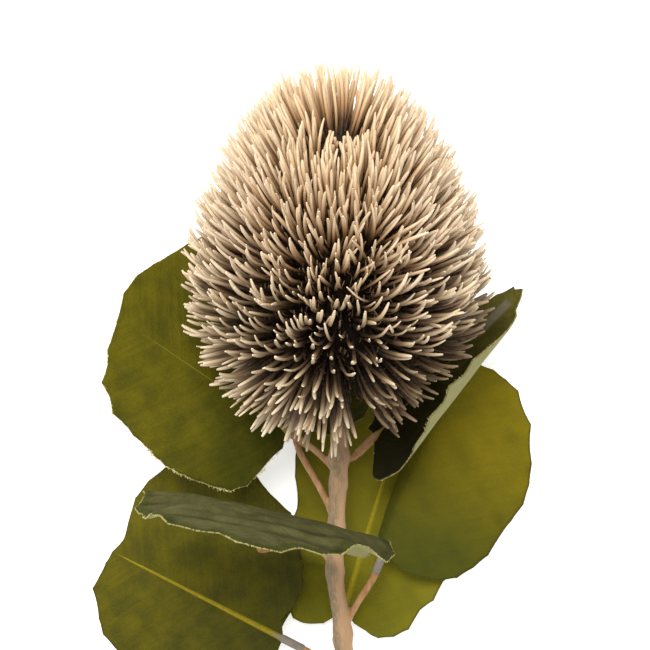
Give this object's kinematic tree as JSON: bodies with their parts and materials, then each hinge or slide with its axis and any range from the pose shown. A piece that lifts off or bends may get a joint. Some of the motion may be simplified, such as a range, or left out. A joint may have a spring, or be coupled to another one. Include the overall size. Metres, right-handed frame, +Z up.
{
  "type": "banksia flower",
  "caption": "Cut stem of an imitation banksia lying down: an egg-shaped head of hooked bristly florets over round toothed fabric leaves on a branching stem.",
  "frame": {"origin": "middle of the underside of the box that the whole stem fills, on the surface it lies on", "axes": "+Z up from the surface, +Y along the stem from its cut end towards the head, +X to the right when seen from above"},
  "size_m": [0.153, 0.2317, 0.1071],
  "materials": {
    "floret_cream": "matte",
    "stem_tan": "matte",
    "leaf_upper_left_fabric": "matte woven cloth",
    "leaf_under_head_left_fabric": "matte woven cloth",
    "leaf_under_head_right_fabric": "matte woven cloth",
    "leaf_folded_right_fabric": "matte woven cloth",
    "leaf_right_fabric": "matte woven cloth",
    "leaf_behind_stem_fabric": "matte woven cloth",
    "leaf_front_fabric": "matte woven cloth",
    "leaf_lower_left_fabric": "matte woven cloth"
  },
  "bodies": {
    "root": {"flower_head": "floret_cream", "stem": "stem_tan", "leaf_upper_left": "leaf_upper_left_fabric", "leaf_under_head_left": "leaf_under_head_left_fabric", "leaf_under_head_right": "leaf_under_head_right_fabric", "leaf_folded_right": "leaf_folded_right_fabric", "leaf_right": "leaf_right_fabric", "leaf_behind_stem": "leaf_behind_stem_fabric", "leaf_front": "leaf_front_fabric", "leaf_lower_left": "leaf_lower_left_fabric"}
  },
  "joints": []
}
